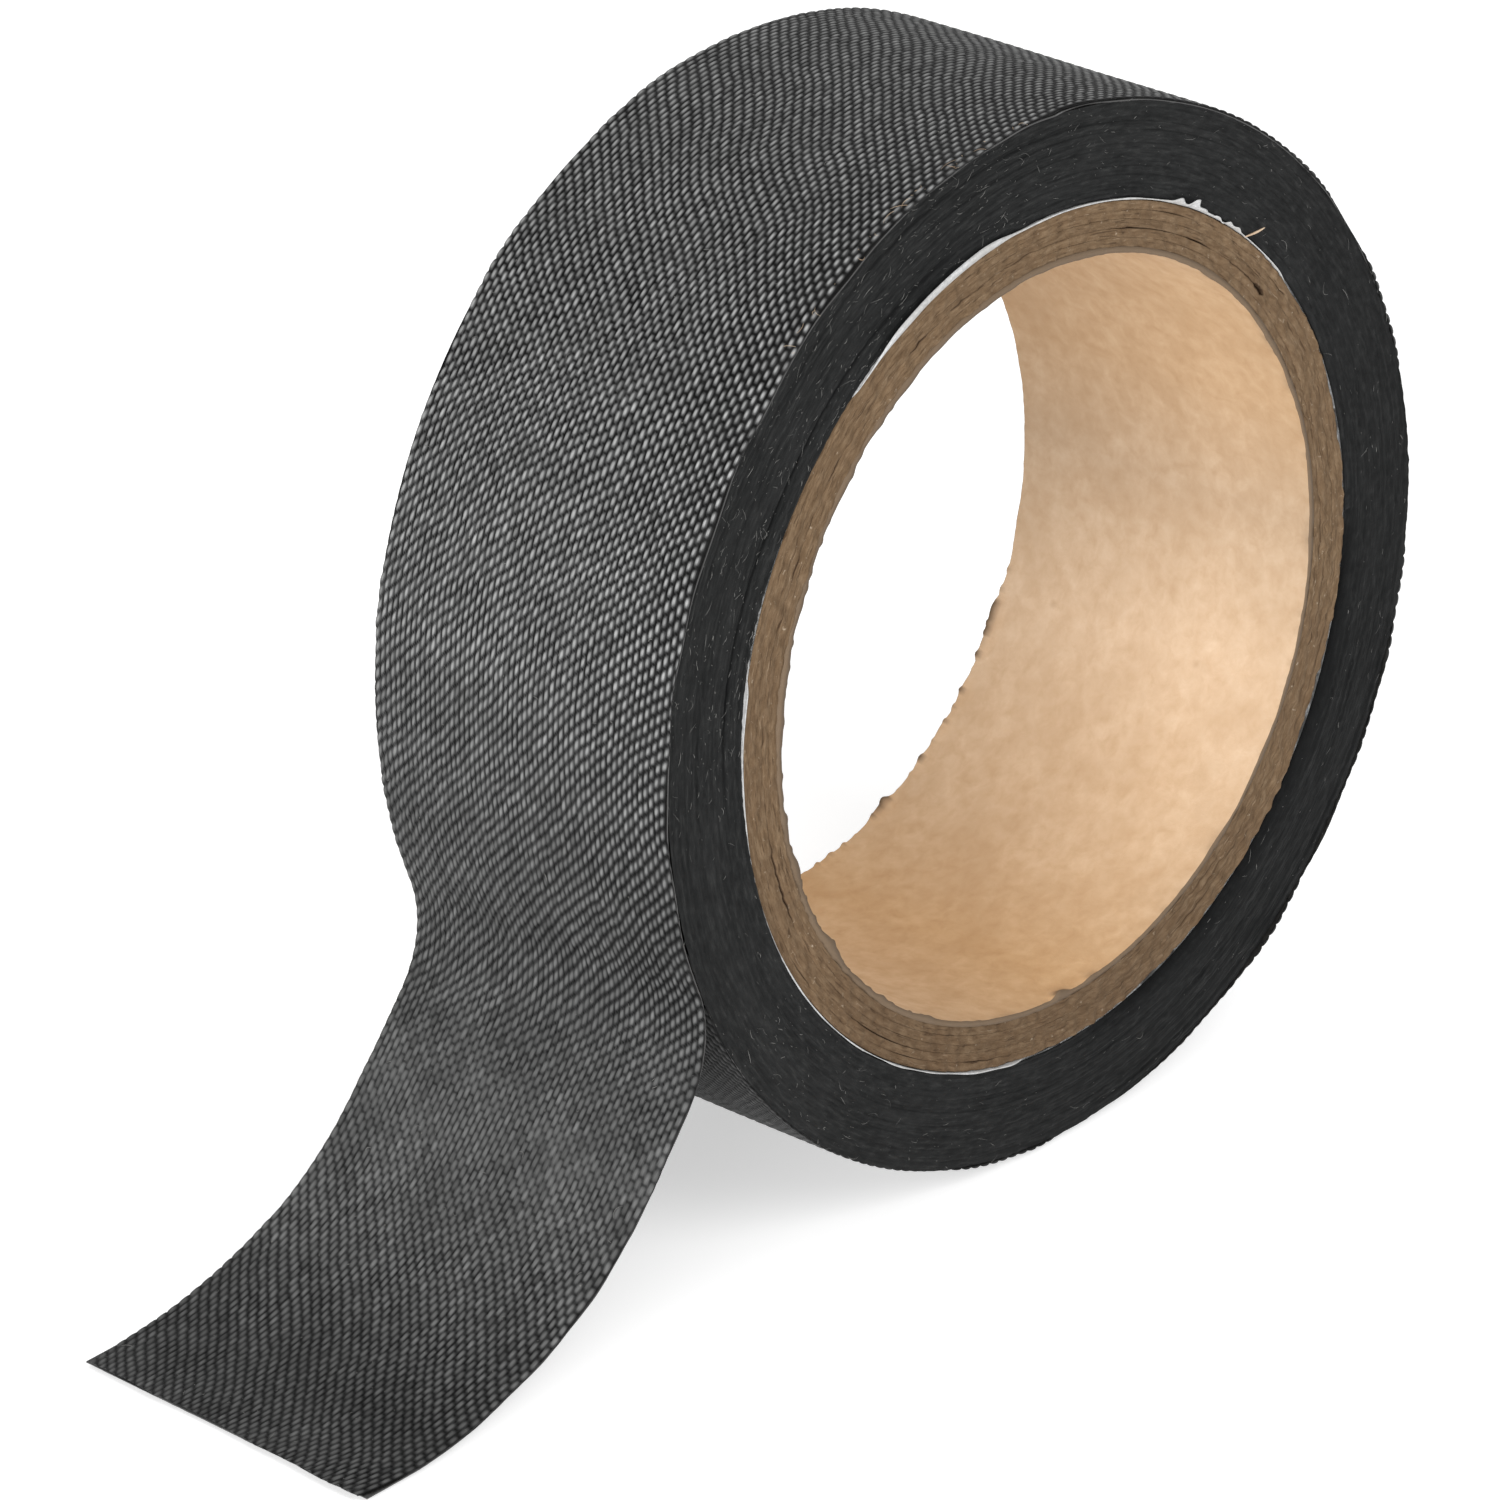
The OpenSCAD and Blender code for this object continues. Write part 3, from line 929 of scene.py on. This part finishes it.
def seam_gap(boundary, angle):
    """Half the gap between two plies at a boundary, which opens in places."""
    place = degrees_of(angle)
    points = polar(PLY_RADII[boundary], angle, boundary * 40 * MM)
    gap = 0.003 * MM + 0.012 * MM * np.clip(waves(points, 9 * MM, 90 + boundary, 16) - 0.4, 0, 3)
    if boundary == OPEN_SEAM:
        crack = np.clip(0.35 + 0.65 * waves(points, 4 * MM, 99, 16), 0, 2)
        for width, *where in CRACKS:
            gap = gap + width * MM * bump(place, *where) * crack
        for width, *where in SLIT:
            gap = gap + width * MM * bump(place, *where)
    if boundary in (0, len(PLIES)):
        gap = gap * 0.3
    return gap


def end_relief(points, seed):
    """Roughness of the core's sawn end: soft hollows, and pulp in two sizes."""
    soft = 0.05 * MM * waves(points, 13 * MM, seed, 12)
    coarse = 0.035 * MM * waves(points, 1.3 * MM, seed + 1, 32)
    fine = 0.022 * MM * waves(points, 0.5 * MM, seed + 2, 32)
    return soft + (coarse + fine)


def ply_piece(k):
    """One board ply of the core, a tube with rough ends that meets its neighbours at open seams."""
    gaps = np.stack([seam_gap(k, core_angle), seam_gap(k + 1, core_angle)], axis=-1)
    inner, outer = PLY_RADII[k] + gaps[:, 0], PLY_RADII[k + 1] - gaps[:, 1]
    shares = np.array([0, 0.04, 0.15, 0.32, 0.5, 0.68, 0.85, 0.96, 1.0])
    r = inner[:, None] + (outer - inner)[:, None] * shares
    theta = np.broadcast_to(core_angle[:, None], r.shape)
    edge = np.abs(shares - 0.5) * 2
    faces, painted_shades = [], []
    for side in (NEAR, FAR):
        flat = polar(r, theta, side * HALF_WIDTH)
        relief = end_relief(flat, 110 + side * 5)
        relief -= 0.015 * MM * (edge ** 8)[None]
        ply_set = 0.012 * MM * waves(flat, 22 * MM, 130 + k + 10 * side, 10)
        faces.append(polar(r, theta, side * (HALF_WIDTH - 0.05 * MM + relief + ply_set)))
        # painted shade beside the open seams, and towards the bottom of the end
        open_seam = gaps[:, :1] * (1 - shares) ** 14 + gaps[:, 1:] * shares ** 14
        painted_bottom_shade = 0.2 * bump(degrees_of(theta), 235, 300, 25)
        painted_shades.append(np.clip(open_seam / (0.05 * MM) - 0.1, 0, 0.8) + painted_bottom_shade)
    sections = joined(faces[0], faces[1][:, ::-1])
    painted_shade = joined(painted_shades[0], painted_shades[1][:, ::-1])
    shade = 1.0 + 0.05 * math.sin(2.2 * k)
    return swept(f"board_ply_{k + 1}", sections, True, material=board_material(shade),
                 values={"painted_shade": painted_shade})


LINING_AT = (0, 20, 50, 110, 180, 240, 275, 300, 335, 360)  # polar angles round the bore ...
PAINTED_BORE_SHADE = (0.1, 0.5, 0.55, 0.3, 0.3, 0.4, 0.75, 0.3, 0.0, 0.1)  # ... how much painted shade, darker and more orange, the lining has ...
LINING_SHADE = (0.74, 0.8, 0.85, 0.9, 1, 1.1, 1.05, 1, 1, 0.74)  # ... and how much painted light and shade it has
# How torn the lining's edge is: all round, and where more, with first, last and soft degrees
TORN_ALL_ROUND = {NEAR: 0.2, FAR: 0.12}
TORN_MORE = {NEAR: ((1.1, 268, 284, 4), (0.8, 120, 236, 8)), FAR: ((2.0, 266, 334, 8),)}


def bore_edge(angle, side):
    """Inward lip and tear of the lining at an end of the bore, and how torn it is, from 0 to 1."""
    place = degrees_of(angle)
    points = polar(BORE_R, angle, side * HALF_WIDTH)
    ragged = np.clip(waves(points, 4.2 * MM, 150 + side, 20), 0, 2.2)
    fine = np.clip(waves(points, 1.1 * MM, 160 + side, 20), 0, 2)
    zone = TORN_ALL_ROUND[side]
    for amount, *where in TORN_MORE[side]:
        zone = zone + amount * bump(place, *where)
    lip = zone * (0.15 * MM * ragged + 0.06 * MM * fine) + 0.012 * MM * fine
    return lip, np.clip(zone * (ragged * 0.7 + fine * 0.4 - 0.35), 0, 1)


def liner_piece():
    """The kraft ply that lines the bore, slightly uneven, with torn lips at its ends."""
    ends = np.array([0.93, 0.96, 0.98, 0.993, 0.998, 1])
    y_shares = np.concatenate([-ends[::-1], np.linspace(-0.9, 0.9, 61), ends])
    theta, across = np.meshgrid(core_angle, y_shares, indexing="ij")
    points = polar(BORE_R, theta, across * HALF_WIDTH)
    wavy = 0.045 * MM * waves(points, 15 * MM, 170, 16) + 0.012 * MM * waves(points, 2.2 * MM, 171, 24)
    lips, torn = np.zeros_like(theta), np.zeros_like(theta)
    for side in (NEAR, FAR):
        lip, tear = bore_edge(core_angle, side)
        depth = (1 - side * across) * HALF_WIDTH
        fade = np.exp(-((depth / (0.45 * MM)) ** 2))
        lips += lip[:, None] * fade
        torn += tear[:, None] * np.exp(-((depth / (0.38 * MM)) ** 2))
    inside = BORE_R + 0.02 * MM - np.abs(wavy) * 0.5 - lips
    stand = 0.03 * MM * waves(points, 5 * MM, 172, 16) * np.abs(across) ** 20
    inner = polar(inside, theta, across * (HALF_WIDTH - 0.06 * MM + stand))
    outer = polar((LINER_R - 0.3 * seam_gap(0, core_angle))[:, None], core_angle[:, None],
                  np.array([FAR, NEAR]) * (HALF_WIDTH - 0.07 * MM))
    place = degrees_of(theta)
    torn[:, [0, -1]] = 1
    # painted shade by polar angle round the bore: orange shade, and grey light and shade
    values = {"torn": torn, "painted_orange_shade": np.interp(place, LINING_AT, PAINTED_BORE_SHADE),
              "shade": np.interp(place, LINING_AT, LINING_SHADE)}
    hidden = np.ones((CORE_ROWS, 2))
    values = {key: joined(shown, hidden) for key, shown in values.items()}
    return swept("bore_lining", joined(inner, outer), True, material=LINER, values=values)


WHITE_ROWS = 2160


def white_ply_piece():
    """The white ply round the core. Its near edge stands up past the board and leans out in places."""
    angle = np.arange(WHITE_ROWS) * TURN / WHITE_ROWS
    place = degrees_of(angle)
    points = polar(CORE_R, angle, 0)
    bold = 0.7 * bump(place, 66, 92, 10)
    uneven = 0.5 + 0.5 * np.clip(waves(points, 5 * MM, 181, 16), -1, 1) + bold
    crumple = waves(points, 1.0 * MM, 182, 24)
    lifted = bump(place, 104, 119, 9)
    shown = bump(place, 42, 260, 12) * (1 - bump(place, 136, 161, 8))
    torn = bump(place, 53, 66, 2.5) * (0.5 + 0.5 * np.clip(waves(points, 2.2 * MM, 183, 16), -1, 1))
    lean = 0.04 * MM * uneven + 0.5 * MM * lifted + torn * (0.22 + 0.26 * crumple) * MM
    proud = 0.05 * MM + 0.08 * MM * uneven + 0.22 * MM * lifted + torn * (0.25 + 0.1 * crumple) * MM
    proud = proud - 1.4 * MM * (1 - shown)
    lean = lean * shown
    skin = 0.022 * MM + (0.025 * MM * uneven + 0.14 * MM * lifted)[:, None]
    t = np.linspace(0, 1, 6)[None]
    middle_r = CORE_R - 0.1 * MM + lean[:, None] * t ** 2
    middle_y = -HALF_WIDTH + 0.15 * MM - (proud[:, None] + 0.15 * MM) * t
    inner = polar(middle_r - skin, angle[:, None], middle_y)
    outer = polar(middle_r + skin, angle[:, None], middle_y - 0.01 * MM)
    far = polar(CORE_R - np.array([0.15, 0.05]) * MM, angle[:, None],
                HALF_WIDTH + 0.03 * MM * uneven[:, None])
    sections = joined(far[:, :1], inner, outer[:, ::-1], far[:, 1:])
    return swept("white_ply", sections, True, material=PAPER)


def splinter_piece():
    """A loose sliver of board that stands out over the winding."""
    t = np.linspace(0, 1, 8)[None, :, None]
    root = polar(CORE_R - 0.15 * MM, np.radians(50.6), -HALF_WIDTH - 0.02 * MM)
    tip = polar(CORE_R + 1.05 * MM, np.radians(49.0), -HALF_WIDTH - 0.55 * MM)
    bow = np.array([0.12, 0, -0.05]) * MM
    radius = 0.085 * MM
    path = root + (tip - root) * t + bow * np.sin(t * math.pi)
    return strands("board_splinter", path, np.array([radius]), SPLINTER)


core_pieces = [(liner_piece(), "core_liner", "kraft_liner")]
core_pieces += [(ply_piece(k), name, "core_board") for k, name in enumerate(PLIES)]
core_pieces += [(white_ply_piece(), "core_outer_ply", "white_ply")]
for piece, node, slot in core_pieces:
    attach(piece, "spool")
    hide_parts(node)
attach(splinter_piece(), "spool")


# ======== floor, light and camera
FLOOR_SIZE = 3.0
FLOOR_GAP = 0.2 * MM  # between the floor and the roll
WORLD_LIGHT = 0.5
LIGHTS = (  # name, place, size in metres and power in watts
    ("key", (-0.78, -0.38, 0.15), 0.5, 7.8),
    ("front", (-0.1, -0.75, 0.62), 0.5, 3.9),
    ("top_right", (0.35, 0.3, 0.7), 0.4, 0.8),
)
CAMERA_AT = (-0.3231, -0.2999, 0.1881)
CAMERA_AZIMUTH, CAMERA_ELEVATION, CAMERA_ROLL = (math.radians(turn) for turn in (-45.76, 24.33, -1.252))
CAMERA_LENS, CAMERA_SENSOR = 177.08, 36.0


def floor():
    """A plain white floor that glows a little, so that it stays white round the shadow."""
    mesh = bpy.data.meshes.new("floor")
    size, z = FLOOR_SIZE, cad_low.z - FLOOR_GAP
    mesh.from_pydata([(-size, -size, z), (size, -size, z), (size, size, z), (-size, size, z)], [],
                     [(0, 1, 2, 3)])
    made = bpy.data.objects.new("floor", mesh)
    bpy.context.scene.collection.objects.link(made)
    mesh.materials.append(new_material("pale_floor", Roughness=0.9, Base_Color=grey(0.8),
                                       Emission_Color=grey(1.0), Emission_Strength=0.5)[0])


def area_light(name, place, size, power):
    light = bpy.data.lights.new(name, "AREA")
    light.size = size
    light.energy = power
    made = bpy.data.objects.new(name, light)
    made.location = place
    back = made.location.normalized()
    made.rotation_mode = "QUATERNION"
    made.rotation_quaternion = back.to_track_quat("Z", "Y")
    bpy.context.scene.collection.objects.link(made)


def world(strength):
    made = bpy.data.worlds.new("studio")
    made.use_nodes = True
    made.node_tree.nodes["Background"].inputs["Color"].default_value = grey(1.0)
    made.node_tree.nodes["Background"].inputs["Strength"].default_value = strength
    bpy.context.scene.world = made


def camera():
    """The photograph's view: from the front left, a little above."""
    data = bpy.data.cameras.new("camera")
    data.lens = CAMERA_LENS
    data.sensor_width = CAMERA_SENSOR
    made = bpy.data.objects.new("camera", data)
    view = Matrix.Translation(CAMERA_AT)
    for angle, axis in ((CAMERA_AZIMUTH, "Z"), (TURN / 4 - CAMERA_ELEVATION, "X"), (CAMERA_ROLL, "Z")):
        view = view @ Matrix.Rotation(angle, 4, axis)
    made.matrix_world = view
    bpy.context.scene.collection.objects.link(made)
    bpy.context.scene.camera = made


floor()
world(WORLD_LIGHT)
for light_row in LIGHTS:
    area_light(*light_row)
camera()
bpy.context.scene.view_settings.view_transform = "Standard"
